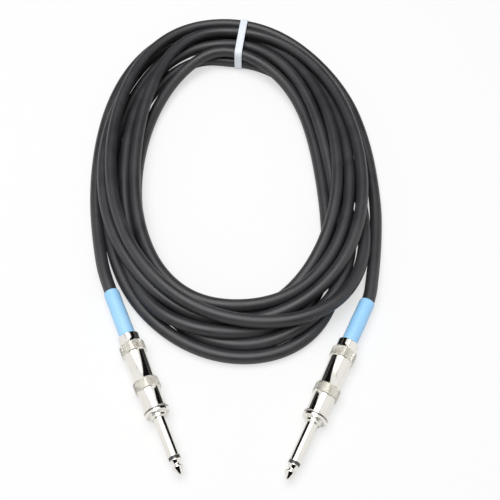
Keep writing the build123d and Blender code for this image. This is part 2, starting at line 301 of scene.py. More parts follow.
# %% [markdown]
# ## Lathe work
#
# Most of a plug is turned on a lathe, so its surfaces are profiles carried round an axis. The
# axis comes from the frame: the mount on each finger gives its direction and its middle. A
# profile is a list of (distance along the axis, radius). Distance 0 is the shoulder that meets
# the socket, and the tip lies at the positive end. Real corners are never sharp, and a mirror
# finish shows it, so `eased` rounds each one before the profile is turned.

# %% Axes and profiles
FINGER_SLEEVE = 21.6
CORNER_SHARE = 0.4
GUARD_REACH = 1.2


def plug_axes(end):
    """Shoulder point, direction to the tip, and two directions across, of one plug."""
    mount = next(m for m in frame["record"]["mounts"] if m["name"] == f"plug_{end}_finger")
    forward = np.array(mount["axis"]) / np.linalg.norm(mount["axis"])
    shoulder = np.array(mount["pos_m"]) - forward * FINGER_SLEEVE / 2 * MM
    up = np.array([0.0, 0.0, 1.0])
    return shoulder, forward, np.cross(up, forward), up


def eased(corners, radius=0.12, steps=5, closed=False):
    """Profile with rounded corners. Each corner is left out, and a curve runs from `radius`
    before it to `radius` after it: (1-s)^2 before + 2s(1-s) corner + s^2 after. It takes at most
    `CORNER_SHARE` of each side. One more point stands just outside each end of the curve, to
    keep the flats flat when they are shaded. `radius` may be one number for each corner."""
    points = np.array(corners, float)
    loop = np.vstack([points[-1:], points, points[:1]]) if closed else points
    before, corner, after = loop[:-2], loop[1:-1], loop[2:]
    back, ahead = before - corner, after - corner
    back_run = np.linalg.norm(back, axis=1)[:, None]
    ahead_run = np.linalg.norm(ahead, axis=1)[:, None]
    wanted = np.broadcast_to(np.asarray(radius, float), len(corner))[:, None]
    cut = np.minimum(wanted, CORNER_SHARE * np.minimum(back_run, ahead_run))
    to_start, to_stop = back / back_run * cut, ahead / ahead_run * cut
    start, stop = (corner + to_start)[:, None], (corner + to_stop)[:, None]
    guards = [(corner + way * GUARD_REACH)[:, None] for way in (to_start, to_stop)]
    s = np.linspace(0, 1, steps)[None, :, None]
    curve = (1 - s) ** 2 * start + 2 * s * (1 - s) * corner[:, None] + s ** 2 * stop
    bends = np.concatenate([guards[0], curve, guards[1]], axis=1).reshape(-1, 2)
    return bends if closed else np.vstack([points[:1], bends, points[-1:]])


for end in "ab":
    print("plug", end, "shoulder and direction", *(np.round(v, 3) for v in plug_axes(end)[:2]))

# %% [markdown]
# Every new surface in this lesson is a grid of points: so many columns round it, so many rows
# along it. `grid_mesh` makes a mesh of it, with a map in millimetres for the lathe's lines to
# follow, `closed_object` makes that one closed skin, and `turned` works a grid out from a profile.

# %% Grids and turned surfaces
def grid_mesh(name, points, material, map_u, map_v, wrap_rows, smooth=True):
    """Mesh over a grid of points (rows, columns, 3). Columns always close on themselves, rows
    when `wrap_rows` is set. Each face joins a point to its neighbours in the next column and
    row. The map "surface" holds `map_u` round the columns and `map_v` along the rows, in mm."""
    index = np.arange(points.size // 3).reshape(points.shape[:2])
    corners = np.stack([index, np.roll(index, -1, 1), np.roll(index, (-1, -1), (0, 1)),
                        np.roll(index, -1, 0)], axis=-1)[:None if wrap_rows else -1]
    mesh = bpy.data.meshes.new(name)
    mesh.vertices.add(index.size)
    mesh.vertices.foreach_set("co", points.reshape(-1))
    mesh.loops.add(corners.size)
    mesh.loops.foreach_set("vertex_index", corners.reshape(-1))
    mesh.polygons.add(corners.size // 4)
    mesh.polygons.foreach_set("loop_start", np.arange(0, corners.size, 4))
    mesh.update(calc_edges=True)
    u = np.stack([map_u[:-1], map_u[1:], map_u[1:], map_u[:-1]], axis=-1)[None]
    v = np.stack([map_v[:-1], map_v[:-1], map_v[1:], map_v[1:]], axis=-1)[:len(corners), None]
    surface = np.stack(np.broadcast_arrays(u, v), axis=-1)
    mesh.uv_layers.new(name="surface").data.foreach_set("uv", surface.reshape(-1))
    smooth_faces = np.broadcast_to(np.asarray(smooth)[..., None], corners.shape[:2])
    mesh.polygons.foreach_set("use_smooth", smooth_faces.reshape(-1))
    mesh.materials.append(material)
    return mesh


def closed_object(name, mesh, touching=1e-8):
    """Object from a mesh. Points closer than `touching` are merged, which closes poles and
    seams, open ends get a face each, and every face is turned outwards."""
    shape = bmesh.new()
    shape.from_mesh(mesh)
    bmesh.ops.remove_doubles(shape, verts=shape.verts, dist=touching)
    bmesh.ops.dissolve_degenerate(shape, edges=shape.edges, dist=touching)
    bmesh.ops.holes_fill(shape, edges=[edge for edge in shape.edges if edge.is_boundary])
    bmesh.ops.recalc_face_normals(shape, faces=shape.faces)
    shape.to_mesh(mesh)
    shape.free()
    return in_scene(name, mesh)


def angles_round(count):
    """Evenly spaced angles over one full turn."""
    return np.linspace(0, 2 * np.pi, count, endpoint=False)


def turned(name, end, profile, material, closed=True, columns=160, relief=None, crisp=None,
           painted_shade=None):
    """Surface of revolution: for each (along, radius) of the profile and each angle a, point =
    shoulder + along * forward + radius * (cos a * side + sin a * up). `relief(along, angle)` is
    taken off the radius, and rows where `crisp(along)` holds are shaded flat.
    The last argument, a function of (along, angle) from 0 to 1, is painted shade in recesses,
    kept as the attribute "groove"."""
    shoulder, forward, side, up = plug_axes(end)
    along, radius = profile[:, :1], profile[:, 1:]
    angle = angles_round(columns)[None]
    cut = relief(along, angle) if relief else np.zeros((1, 1))
    reach = np.maximum(radius - cut * (radius > 0), 0) * np.ones_like(angle)
    around = np.cos(angle)[..., None] * side + np.sin(angle)[..., None] * up
    points = shoulder + (along[..., None] * forward + reach[..., None] * around) * MM
    runs = np.linalg.norm(np.diff(np.vstack([profile, profile[:1]]), axis=0), axis=1)
    map_round = np.arange(columns + 1) * 2 * np.pi * radius.max() / columns
    map_along = np.concatenate([[0], np.cumsum(runs)])
    smooth = ~crisp(profile[:, 0])[:len(profile) if closed else -1] if crisp else True
    mesh = grid_mesh(name, points, material, map_round, map_along, closed, smooth)
    # Painted shade in recesses, kept as an attribute by which the metal material darkens.
    if painted_shade:
        dark = np.broadcast_to(painted_shade(along, angle), reach.shape)
        groove = mesh.attributes.new("groove", "FLOAT", "POINT")
        groove.data.foreach_set("value", dark.reshape(-1))
    return closed_object(name, mesh)


print("surface helpers ready")

# %% [markdown]
# ## The barrels and their knurls
#
# A barrel is a tube with two raised bands that are knurled, so that fingers can grip it. A
# knurling wheel presses two crossed sets of grooves, left- and right-handed, which leave rows of
# small diamonds. The grooves are real geometry: `diamond_knurl` lowers each point by how near
# it is to one. Painted shade darkens them, the deeper parts more, and sets the bands off from
# the polished tube.

# %% Knurl pattern
NECK_FRONT = -5.2
BARREL_LENGTH = 45.0
BARREL_END = NECK_FRONT - BARREL_LENGTH
RIM_GAP, RIM_LINE = 0.02, 0.12
KNURL_LENGTH = 5.9
KNURL_STARTS = (5.5, 28.4)
KNURL_TEETH = 38
KNURL_PITCH = 1.0
KNURL_DEPTH = 0.40
KNURL_FLAT = 0.42
KNURL_MARGIN = 0.02
# How dark the painted shade gets in the knurl's grooves and on the line at the barrel's front rim.
KNURL_DARK, RIM_DARK = 0.35, 0.9


def ridge(phase):
    """Triangle wave of period 1: 1 at whole numbers, 0 half way between them."""
    return np.abs(2 * (phase % 1) - 1)


def on_knurl(along):
    """True for places along the axis that lie on a knurled band."""
    starts = BARREL_END + np.array(KNURL_STARTS)
    along = np.asarray(along)[..., None]
    inside = ((along > starts + KNURL_MARGIN)
              & (along < starts + KNURL_LENGTH - KNURL_MARGIN))
    return inside.any(axis=-1)


def diamond_knurl(along, angle):
    """Depth of two crossed sets of grooves. Each set is a triangle wave of the angle, in teeth,
    plus or minus the distance, in pitches. The deeper set counts, and the lowest part of the
    wave is cut off, which leaves small flats on the diamonds."""
    teeth, pitches = angle * KNURL_TEETH / (2 * np.pi), along / KNURL_PITCH
    groove = np.maximum(ridge(teeth + pitches), ridge(teeth - pitches))
    depth = KNURL_DEPTH * np.clip((groove - KNURL_FLAT) / (1 - KNURL_FLAT), 0, 1)
    return depth * on_knurl(along)


def dark_line(along, middle, flat, fade):
    """1 within `flat` of the middle, and from there down to 0 over `fade`."""
    return np.clip(1 - (np.abs(along - middle) - flat) / fade, 0, 1)


def knurl_painted_shade(along, angle):
    """Painted shade: in the grooves, their share of the full depth squared, and on a line at the
    front rim.
    """
    groove = (diamond_knurl(along, angle) / KNURL_DEPTH) ** 2
    rim = dark_line(along, NECK_FRONT - RIM_GAP, flat=0, fade=RIM_LINE)
    return np.maximum(KNURL_DARK * groove, RIM_DARK * rim)


print("knurl:", KNURL_TEETH, "teeth round,", KNURL_LENGTH / KNURL_PITCH, "pitches along")

# %% [markdown]
# The barrel's profile is one closed loop, outside and bore. The bands get many rows, so that the
# grid can follow the diamonds. Only those rows are shaded flat, which keeps the diamonds crisp
# and the rest of the barrel mirror-smooth.

# %% Barrels
BARREL_RADIUS, BARREL_BORE = 5.9, 5.55
REAR_WALL, REAR_BORE = 2.6, 4.70
THREAD_BORE_END, THREAD_BORE = -10.3, 5.30
KNURL_RADIUS, KNURL_CHAMFER = 7.0, 0.35
KNURL_ROWS = 54
COLUMNS_A_TOOTH = 8
FOOT, FOOT_MIDDLE, EDGE = 0.15, 0.04, 0.1
REAR_LEAD, REAR_PLAIN, FRONT_PLAIN = 0.6, 3.4, 3.0
REAR_RIM_ROUND, FRONT_RIM_ROUND = 0.9, 0.3


def knurl_band(start):
    """Rows over one raised band: its rear side with a hollow foot, the chamfered top, its front."""
    low = BARREL_END + start
    along = np.linspace(low, low + KNURL_LENGTH, KNURL_ROWS)
    from_edge = np.minimum(along - low, low + KNURL_LENGTH - along)
    top = np.stack([along, KNURL_RADIUS - np.maximum(0, KNURL_CHAMFER - from_edge)], axis=1)
    rear = np.array([[low - FOOT, BARREL_RADIUS],
                     [low - FOOT_MIDDLE, BARREL_RADIUS + FOOT_MIDDLE],
                     [low, BARREL_RADIUS + FOOT], [low, KNURL_RADIUS - KNURL_CHAMFER - EDGE]])
    front = [2 * low + KNURL_LENGTH, 0] + rear[::-1] * [-1, 1]
    return np.vstack([rear, top, front])


def barrel_profile():
    """Closed loop: rounded rear rim, outside with its two bands, front end, bore, rear opening."""
    rear = eased([(BARREL_END + REAR_LEAD, REAR_BORE), (BARREL_END, REAR_BORE),
                  (BARREL_END, BARREL_RADIUS), (BARREL_END + REAR_PLAIN, BARREL_RADIUS)],
                 radius=[0.15, REAR_RIM_ROUND], steps=9)
    front = eased([(NECK_FRONT - FRONT_PLAIN, BARREL_RADIUS),
                   (NECK_FRONT - RIM_GAP, BARREL_RADIUS),
                   (NECK_FRONT - RIM_GAP, THREAD_BORE), (THREAD_BORE_END, THREAD_BORE),
                   (THREAD_BORE_END, BARREL_BORE), (BARREL_END + REAR_WALL, BARREL_BORE),
                   (BARREL_END + REAR_WALL, REAR_BORE)],
                  radius=[FRONT_RIM_ROUND, 0.1, 0.05, 0.05, 0.1])
    return np.vstack([rear, *map(knurl_band, KNURL_STARTS), front])


for end in "ab":
    barrel = turned(f"barrel_shell_{end}", end, barrel_profile(), barrel_nickel,
                    columns=KNURL_TEETH * COLUMNS_A_TOOTH, relief=diamond_knurl, crisp=on_knurl,
                    painted_shade=knurl_painted_shade)
    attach(barrel, f"barrel_{end}")
    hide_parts(f"barrel_{end}")
    print(barrel.name, len(barrel.data.polygons), "faces")

# %% [markdown]
# ## Sleeve, ring and tip
#
# In front of the barrel the plug is one turned body: a threaded neck that the barrel screws
# onto, a lip, a narrow groove and a flange that stop a hand, a collar, and the quarter-inch
# finger. The thread is a true helix: the cut is a triangle wave of distance over pitch, less one
# whole wave for each turn.

# %% Sleeve with its thread
FINGER_RADIUS = 3.175
COLLAR_END, COLLAR_RADIUS = -2.0, 4.3
FLANGE_END, FLANGE_RADIUS = -3.7, 6.5
GROOVE_END, GROOVE_RADIUS = -4.3, 6.0
LIP_RADIUS = 6.8
THREAD_FROM, THREAD_TO = -10.0, -5.6
THREAD_RADIUS, THREAD_PITCH, THREAD_DEPTH = 5.25, 0.8, 0.35
THREAD_RUN_OUT = 0.3
ROWS_A_PITCH = 10
STAKE_END, STAKE_RADIUS = -10.6, 3.0
BORE, BORE_FROM, BORE_TO = 1.7, 20.0, -8.0
# How dark the painted shade gets in the groove between flange and lip and in the thread's root.
GROOVE_DARK, THREAD_DARK = 0.85, 0.6


def right_hand_thread(along, angle):
    """Depth of a right-hand helix: a triangle wave of (distance / pitch - turns), faded out at
    both ends."""
    wave = ridge(along / THREAD_PITCH - angle / (2 * np.pi))
    ends = np.clip(np.minimum(along - THREAD_FROM, THREAD_TO - along) / THREAD_RUN_OUT, 0, 1)
    return THREAD_DEPTH * wave * ends


def sleeve_profile():
    """Closed loop: finger, collar, flange, groove, lip, threaded neck, staked end and bore."""
    front = eased([(BORE_FROM, BORE), (FINGER_SLEEVE, BORE), (FINGER_SLEEVE, FINGER_RADIUS),
                   (0, FINGER_RADIUS), (0, COLLAR_RADIUS), (COLLAR_END, COLLAR_RADIUS),
                   (COLLAR_END, FLANGE_RADIUS), (FLANGE_END, FLANGE_RADIUS),
                   (FLANGE_END, GROOVE_RADIUS), (GROOVE_END, GROOVE_RADIUS),
                   (GROOVE_END, LIP_RADIUS), (NECK_FRONT, LIP_RADIUS),
                   (NECK_FRONT, THREAD_RADIUS), (THREAD_TO + 0.1, THREAD_RADIUS)],
                  radius=[0.05, 0.15, 0.1, 0.3, 0.35, 0.5, 0.35, 0.08, 0.08, 0.3, 0.35, 0.05])
    along = np.arange(THREAD_TO, THREAD_FROM, -THREAD_PITCH / ROWS_A_PITCH)
    neck = np.stack([along, np.full_like(along, THREAD_RADIUS)], axis=1)
    rear = eased([(THREAD_FROM, THREAD_RADIUS), (THREAD_FROM, STAKE_RADIUS),
                  (STAKE_END, STAKE_RADIUS), (STAKE_END, BORE), (BORE_TO, BORE)], radius=0.08)
    return np.vstack([front, neck, rear])


def sleeve_painted_shade(along, angle):
    """Painted shade in the narrow groove between flange and lip, and in the thread's root."""
    groove = dark_line(along, (FLANGE_END + GROOVE_END) / 2, flat=0.2, fade=0.15)
    thread = right_hand_thread(along, angle) / THREAD_DEPTH
    return np.maximum(GROOVE_DARK * groove, THREAD_DARK * thread)


print("sleeve profile", len(sleeve_profile()), "rows,", 2 * FINGER_RADIUS, "mm finger")

# %% [markdown]
# A black ring parts the finger from the tip, whose neck is where a socket's spring clicks in.
# Behind the ring the tip goes on as a thin rod, through the sleeve's bore, to a rivet at the
# back. All of that is one piece of metal, so its profile is one open line.

# %% Ring and tip
RING_END, RING_RADIUS = 23.0, 2.975
ROD_RADIUS = 1.0
RIVET_FROM, RIVET_TO, RIVET_RADIUS = -13.2, -12.4, 1.7
TIP_BASE_RADIUS = 2.75
TIP_NECK = [(23.55, 2.8), (25.3, 1.72), (25.75, 1.75), (26.9, 2.85), (27.3, 2.85)]
NOSE_EDGE, NOSE_RADIUS = 30.5, 0.95
TIP_END, POINT_RADIUS = 31.0, 0.45


def ring_profile():
    """Closed loop: a plain ring round the rod."""
    return eased([(FINGER_SLEEVE, ROD_RADIUS), (RING_END, ROD_RADIUS), (RING_END, RING_RADIUS),
                  (FINGER_SLEEVE, RING_RADIUS)], radius=0.1, closed=True)


def tip_profile():
    """Open line from the rivet at the back to the point: rod, base, neck, flare, nose."""
    rod = [(RIVET_FROM, 0.3), (RIVET_FROM, RIVET_RADIUS), (RIVET_TO, RIVET_RADIUS),
           (RIVET_TO, ROD_RADIUS), (RING_END, ROD_RADIUS), (RING_END, TIP_BASE_RADIUS)]
    nose = [(NOSE_EDGE, NOSE_RADIUS), (TIP_END, POINT_RADIUS), (TIP_END, 0.1)]
    outline = eased(rod + TIP_NECK + nose, radius=[0.15, 0.15, 0.05, 0.05, 0.1, 0.25, 0.35, 0.3,
                                                   0.35, 0.4, 0.5, 0.25])
    return np.vstack([[(RIVET_FROM, 0)], outline, [(TIP_END, 0)]])


for end in "ab":
    sleeve = turned(f"plug_sleeve_{end}", end, sleeve_profile(), plug_nickel,
                    relief=right_hand_thread, painted_shade=sleeve_painted_shade)
    ring = turned(f"black_ring_{end}", end, ring_profile(), ring_black)
    tip = turned(f"plug_tip_{end}", end, tip_profile(), plug_nickel, closed=False)
    for piece, node, slot in ((sleeve, "sleeve_body", "nickel_plate"),
                              (ring, "tip_ring", "ring_insulator"),
                              (tip, "tip_contact", "nickel_plate")):
        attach(piece, "cable")
        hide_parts(f"{node}_{end}")
        print(piece.name, len(piece.data.polygons), "faces")

# %% [markdown]
# ## Heat-shrink sleeves
#
# A sleeve of blue tube is pushed over the cable's end and shrunk with hot air. It comes out
# nearly round, but never quite: it follows small lumps, and its cut ends draw in and leave a soft
# edge. The tube is a turned surface whose radius has slow waves taken off along and round it.

# %% Heat-shrink
SHRINK_ENDS = {"a": -81.0, "b": -78.8}
SHRINK_START = -47.2
SHRINK_RADIUS = 4.45
CABLE_RADIUS = 3.7
SHRINK_GAP = 0.02
SHRINK_ROWS, INSIDE_STEP = 90, 3
# (depth, run) of the soft edge at the very end, and of the long taper in front of it.
EDGE_DRAWS = ((0.42, 0.35), (0.10, 2.2))
# Radians for each millimetre along: slow waves, their slant, fine waves, and their swell.
SLOW_WAVE, SLOW_SLANT, FINE_WAVE, FINE_SWELL = 0.42, 0.09, 1.7, 0.53
SWAY = 1.3
EVEN_DEPTH, SLOW_DEPTH, FINE_DEPTH = 0.035, 0.045, 0.02
LUMPS_FADE = 1.5


def shrink_lumps(along, angle):
    """Depth taken off the outer rows: an even share, slow waves along the tube that sway round
    it in two lobes, and fine slanted ones that swell and fade. It ends at both rims."""
    slow = (np.sin(along * SLOW_WAVE + SWAY * np.sin(angle))
            * np.cos(2 * angle + along * SLOW_SLANT))
    fine = np.sin(along * FINE_WAVE + 2 * angle) * np.sin(along * FINE_SWELL)
    from_rims = np.minimum(along - along.min(), SHRINK_START - along)
    outside = np.arange(len(along))[:, None] < SHRINK_ROWS
    depth = EVEN_DEPTH + SLOW_DEPTH * slow + FINE_DEPTH * fine
    return depth * np.clip(from_rims / LUMPS_FADE, 0, 1) * outside


def shrink_profile(end):
    """Closed loop: outside with its drawn-in rear edge, then straight back along the cable.
    Each draw takes off its depth times e to the power of minus distance over run."""
    along = np.linspace(SHRINK_ENDS[end], SHRINK_START, SHRINK_ROWS)
    drawn_in = sum(depth * np.exp(-(along - along[0]) / run) for depth, run in EDGE_DRAWS)
    outside = np.stack([along, SHRINK_RADIUS - drawn_in], axis=1)
    back = along[::-INSIDE_STEP]
    inside = np.stack([back, np.full(len(back), CABLE_RADIUS + SHRINK_GAP)], axis=1)
    return np.vstack([outside, inside])


for end in "ab":
    shrink = turned(f"shrink_sleeve_{end}", end, shrink_profile(end), blue_shrink,
                    relief=shrink_lumps)
    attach(shrink, "cable")
    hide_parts(f"heat_shrink_{end}")
    print(shrink.name, len(shrink.data.polygons), "faces")

# %% [markdown]
# ## Materials for the parts inside
#
# What the barrels hide keeps its exact solids from the frame: terminals, washers, cores, solder
# and the clear liner. They need no new shape, only the right finish, so each solid's material
# slot gets one of the materials above.

# %% Inner parts
INNER = {
    "rod_insulator": cream_insulator, "terminal_washer": cream_insulator,
    "ground_terminal": tinned_brass, "tip_terminal": tinned_brass,
    "cable_end": jacket, "core_insulation": core_white,
    "core_conductor": bare_copper, "shield_pigtail": bare_copper,
    "solder_on_tip": bright_solder, "solder_on_ground": bright_solder,
    "insulating_liner": clear_liner,
}
for part, material in INNER.items():
    for end in "ab":
        solid = frame["nodes"][f"{part}_{end}"]
        solid.data.materials.clear()
        solid.data.materials.append(material)
print(len(INNER), "kinds of inner part painted")

# %% [markdown]
# ## The cable's route
#
# The whole cable is one curve. It leaves one plug, runs up the left side, goes round the coil
# seven and a half times, and ends at the other plug. The free stretches are a few listed
# points. In the coil, each turn follows the same big oval, but at its own distance in from it,
# its lane, and at its own height, its layer: 0 lies on the table and 1 lies on another turn.
# Lanes and layers are given every 30 degrees and blended smoothly in between, because a
# coil made by hand never repeats itself.

# %% Leads, lanes and layers
STATION = 30
FIRST_POINTS = {"a": -94.2, "b": -83.0}
# Past the first point, which lies on the plug's axis: (x, y, rise of the cable above the table).
LEAD_POINTS = {
    "a": [(-83.4, 80.0, 1.6), (-87.6, 98.0, 0.2), (-91.2, 118.0, 0.0), (-92.9, 137.0, 0.0)],
    "b": [(76.9, 60.5, 2.6), (79.8, 75.0, 1.4), (82.5, 92.0, 0.3), (84.6, 111.0, 0.0),
          (84.8, 133.5, 0.0), (83.8, 156.5, 0.0), (80.9, 180.0, 0.0), (75.7, 203.3, 0.0),
          (66.0, 224.0, 0.0), (53.3, 240.1, 0.0)],
}
# One list for each turn, from the left side over the far end, down the right side and back
# along the near end: (lane, layer) at each station.
TURNS = [
    [(-3.7, 0), (-4.3, 0), (-1.0, 0), (9.6, 0), (9, 0), (8, 0.8),
     (6.4, 1), (15.6, 1), (26.3, 1), (30, 1), (25.4, 0.9), (23.8, 1)],
    [(21.7, 1), (21.8, 1.1), (20.5, 1.4), (25.5, 1.1), (17, 1.2), (3, 1),
     (1, 1), (5.6, 1), (17.5, 0.8), (19.5, 0), (17, 0.2), (9.5, 1)],
    [(0.3, 1), (0.6, 0.9), (4.5, 0.5), (18, 0), (18, 0), (13, 0.5),
     (14.3, 0.8), (25, 1), (30.4, 0.3), (26.5, 0), (24.5, 0), (23.5, 0)],
    [(20.3, 0), (27.6, 0.2), (40.2, 0.8), (47.2, 1), (42, 1), (22, 0.3),
     (27, 0), (18.2, 0), (12.5, 0), (12.5, 0.2), (8, 1), (11, 0.7)],
    [(10.5, 0), (15, 0), (34.5, 0), (51.8, 0), (40.5, 0), (14, 0),
     (18, 0), (4.4, 0), (9, 0.3), (3, 1), (9.6, 0.1), (16, 0)],
    [(15.2, 0.6), (16.3, 0.8), (26.5, 0.6), (34.5, 1), (30, 1), (17.5, 1),
     (25, 1), (11.5, 0), (-2.0, 0), (3.2, 0), (7, 0), (8.6, 0)],
    [(4, 0), (7.5, 0), (15.5, 0), (29.5, 0), (28, 0), (9.5, 0),
     (6.5, 0), (-4.5, 0.6), (5, 1.3), (18.8, 1.2), (20.5, 1.3), (14, 1)],
    [(5.8, 1.2), (4, 1.5), (6.4, 1.2), (16.4, 1), (5.9, 0.6)],
]
print(sum(map(len, TURNS)), "stations")

# %% [markdown]
# The big oval is a circle made fuller at its shoulders, by a power on its cosine and sine. It
# reaches further from its centre at the far end than at the near one, and it leans a little.

# %% Route of the cable
CABLE_DIAMETER = 2 * CABLE_RADIUS
COIL_CENTRE = np.array([-6.0, 136.4])
COIL_HALF_WIDTH, COIL_FAR, COIL_NEAR = 84.5, 155.0, 124.0
COIL_LEAN = -0.04
COIL_POWER = 2.2
POINTS_A_TURN = 30


def signed_power(wave, power):
    """The wave's size raised to a power, with its own sign."""
    return np.sign(wave) * np.abs(wave) ** power


def unit(directions):
    """Each row made one long."""
    return directions / np.linalg.norm(directions, axis=-1, keepdims=True)


def oval(angle):
    """The coil's outer line: signed powers of cosine and sine, unequal ends, a slight lean."""
    across, along = (signed_power(wave(angle), 2 / COIL_POWER) for wave in (np.cos, np.sin))
    y = np.where(along > 0, COIL_FAR, COIL_NEAR) * along
    return COIL_CENTRE + np.stack([COIL_HALF_WIDTH * across + COIL_LEAN * y, y], axis=-1)


def inward(angle, step=1e-3):
    """Unit direction into the oval: its tangent, from two near points, turned a quarter."""
    tangent = unit(oval(angle + step) - oval(angle - step))
    return np.stack([-tangent[:, 1], tangent[:, 0]], axis=-1)


def blended(place, values):
    """Smooth curve through evenly spaced values: a cubic on each span, whose end slopes are
    half the difference of the neighbours."""
    slopes = np.gradient(values)
    span = np.clip(place.astype(int), 0, len(values) - 2)
    t = place - span
    return ((2 * t ** 3 - 3 * t ** 2 + 1) * values[span] + (t ** 3 - 2 * t ** 2 + t) * slopes[span]
            + (3 * t ** 2 - 2 * t ** 3) * values[span + 1] + (t ** 3 - t ** 2) * slopes[span + 1])


def coil_points():
    """Control points of the coil, `POINTS_A_TURN` a turn, clockwise from the left side."""
    lanes, layers = np.array([station for turn in TURNS for station in turn], float).T
    last = (len(lanes) - 1) * STATION
    travel = np.linspace(0, last, last * POINTS_A_TURN // 360 + 1)
    angle, place = np.radians(180 - travel), travel / STATION
    flat = oval(angle) + inward(angle) * blended(place, lanes)[:, None]
    height = CABLE_RADIUS + CABLE_DIAMETER * np.maximum(blended(place, layers), 0)
    return np.column_stack([flat, height])


def lead_points(end):
    """Control points of one free stretch, from the sleeve's end along its axis to the coil."""
    shoulder, forward = plug_axes(end)[:2]
    on_axis = [shoulder / MM + forward * along for along in (SHRINK_ENDS[end], FIRST_POINTS[end])]
    return np.array(on_axis + [(x, y, CABLE_RADIUS + rise) for x, y, rise in LEAD_POINTS[end]])


lead_a, lead_b = lead_points("a"), lead_points("b")
laid_out = np.vstack([lead_a, coil_points()[1:], lead_b[::-1]])
print(len(laid_out), "control points")

# %% [markdown]
# ## Letting the coil settle
#
# Laid out by lane and layer, the turns still cut into each other where they cross. Real turns
# can't, so the coil is settled in small steps. The spline is sampled, and samples of different
# turns that lie closer than one cable's width are pushed apart. Each sample is a weighted mean
# of its three nearest control points, and the same weights carry the push back to them.

# %% Weights of the spline
def spline_weights(count, per_span):
    """Weight of each control point in each sample of a quadratic B-spline held at its ends.
    Starts from the knot span that each sample is in, and blends neighbours twice."""
    last = count - 2
    knots = np.concatenate([[0, 0], np.arange(count - 1), [last] * 2]).astype(float)
    t = np.minimum(np.linspace(0, last, last * per_span + 1), last - 1e-9)[:, None]
    weights = ((knots[:-1] <= t) & (t < knots[1:])).astype(float)
    for order in (1, 2):
        width = knots[order:] - knots[:-order]
        share = np.where(width > 0, (t - knots[:-order]) / np.where(width > 0, width, 1), 0)
        weights = share[:, :-1] * weights[:, :-1] + (1 - share[:, 1:]) * weights[:, 1:]
    return weights


weights = spline_weights(len(laid_out), per_span=3)
print("samples and control points:", weights.shape)

# %% [markdown]
# After each push, bends are evened out, every point is eased back a little to its lane, and the
# cable sinks until it meets the table or another turn. Under the tie it rests on the strap.
# Nothing is random, so every run settles alike.

# %% Settle
TIE_CENTRE = np.array([0.4, 266.4])
TIE_REACH, TIE_FADE = 22.0, 25.0
TIE_THICKNESS, TIE_GAP = 0.9, 0.02
SAME_STRETCH = 25.0
SETTLE_STEPS = 200
PUSH_APART, EVEN_OUT, BACK_TO_LANE, SINK = 0.5, 0.35, 0.03, 0.02
COIL_TOP = 22.0


def run_along(points):
    """Distance travelled from the first point to each one, along the line that joins them."""
    return np.concatenate([[0], np.cumsum(np.linalg.norm(np.diff(points, axis=0), axis=1))])


def settle(points, held):
    """Push crossing turns apart by their overlap, even out the bends, return to the lanes and
    sink, step by step. A bend is a point's distance from the middle of its neighbours."""
    home = points.copy()
    sharing = weights.T / weights.sum(axis=0)[:, None]
    travelled = run_along(weights @ points)
    other_turn = np.abs(travelled[:, None] - travelled) > SAME_STRETCH
    past_tie = np.maximum(np.linalg.norm(home[:, :2] - TIE_CENTRE, axis=1) - TIE_REACH, 0)
    lowest = CABLE_RADIUS + TIE_THICKNESS * np.exp(-(past_tie / TIE_FADE) ** 2)
    for _ in range(SETTLE_STEPS):
        samples = weights @ points
        apart = samples[:, None] - samples
        distance = np.linalg.norm(apart, axis=-1)
        touching = (distance < CABLE_DIAMETER) & other_turn
        push = np.where(touching, (CABLE_DIAMETER - distance) / np.maximum(distance, 1e-6), 0)
        points = points + PUSH_APART * sharing @ (push[..., None] * apart).sum(axis=1)
        bend, uneven = np.zeros_like(points), np.zeros_like(points)
        bend[1:-1] = (points[:-2] + points[2:]) / 2 - points[1:-1]
        uneven[2:-2] = (bend[1:-3] + bend[3:-1]) / 2 - bend[2:-2]
        points = points - EVEN_OUT * uneven
        points[:, :2] += BACK_TO_LANE * (home - points)[:, :2]
        points[:, 2] = np.clip(points[:, 2] - SINK, lowest, COIL_TOP - CABLE_RADIUS)
        points[held] = home[held]
    return points


held = np.zeros(len(laid_out), bool)
held[:len(lead_a) - 1] = True
held[2 - len(lead_b):] = True
settled = settle(laid_out, held)
print("highest point of the cable", round(settled[:, 2].max() + CABLE_RADIUS, 1), "mm")

# %% [markdown]
# ## The cable itself
#
# The settled points become the control points of one NURBS curve, and a round bevel gives it its
# thickness. A NURBS line stays smooth between points, which a chain of straight runs can't. The
# plain line is read once, before it gets its thickness, to find the turns that the tie goes
# round.

# %% Cable curve
LINE_STEPS = 6
ROUND_STEPS = 6


def nurbs_curve(name, points):
    """Curve object with one open NURBS spline of order 3 that starts and ends at its end points."""
    curve = bpy.data.curves.new(name, "CURVE")
    curve.dimensions = "3D"
    curve.resolution_u = LINE_STEPS
    spline = curve.splines.new("NURBS")
    spline.points.add(len(points) - 1)
    spline.points.foreach_set("co", np.column_stack([points, np.ones(len(points))]).reshape(-1))
    spline.order_u = 3
    spline.use_endpoint_u = True
    return in_scene(name, curve)


def line_of(curve_object):
    """The points that Blender draws along a curve with no thickness, in metres."""
    drawn = bpy.data.meshes.new_from_object(curve_object)
    line = np.empty(len(drawn.vertices) * 3)
    drawn.vertices.foreach_get("co", line)
    bpy.data.meshes.remove(drawn)
    return line.reshape(-1, 3)


cable = nurbs_curve("instrument_cord", settled * MM)
cable_line = line_of(cable)
cable.data.bevel_depth = CABLE_RADIUS * MM
cable.data.bevel_resolution = ROUND_STEPS
cable.data.materials.append(jacket)

# %% [markdown]
# ## The tie
#
# A flat plastic tie holds the turns at the far end of the coil. It is pulled tight, so it runs
# straight from turn to turn and bends only where it goes round one. That line is the outline of
# the bundle seen end on: for every direction, the turn that stands out furthest in it, plus
# the cable's radius.

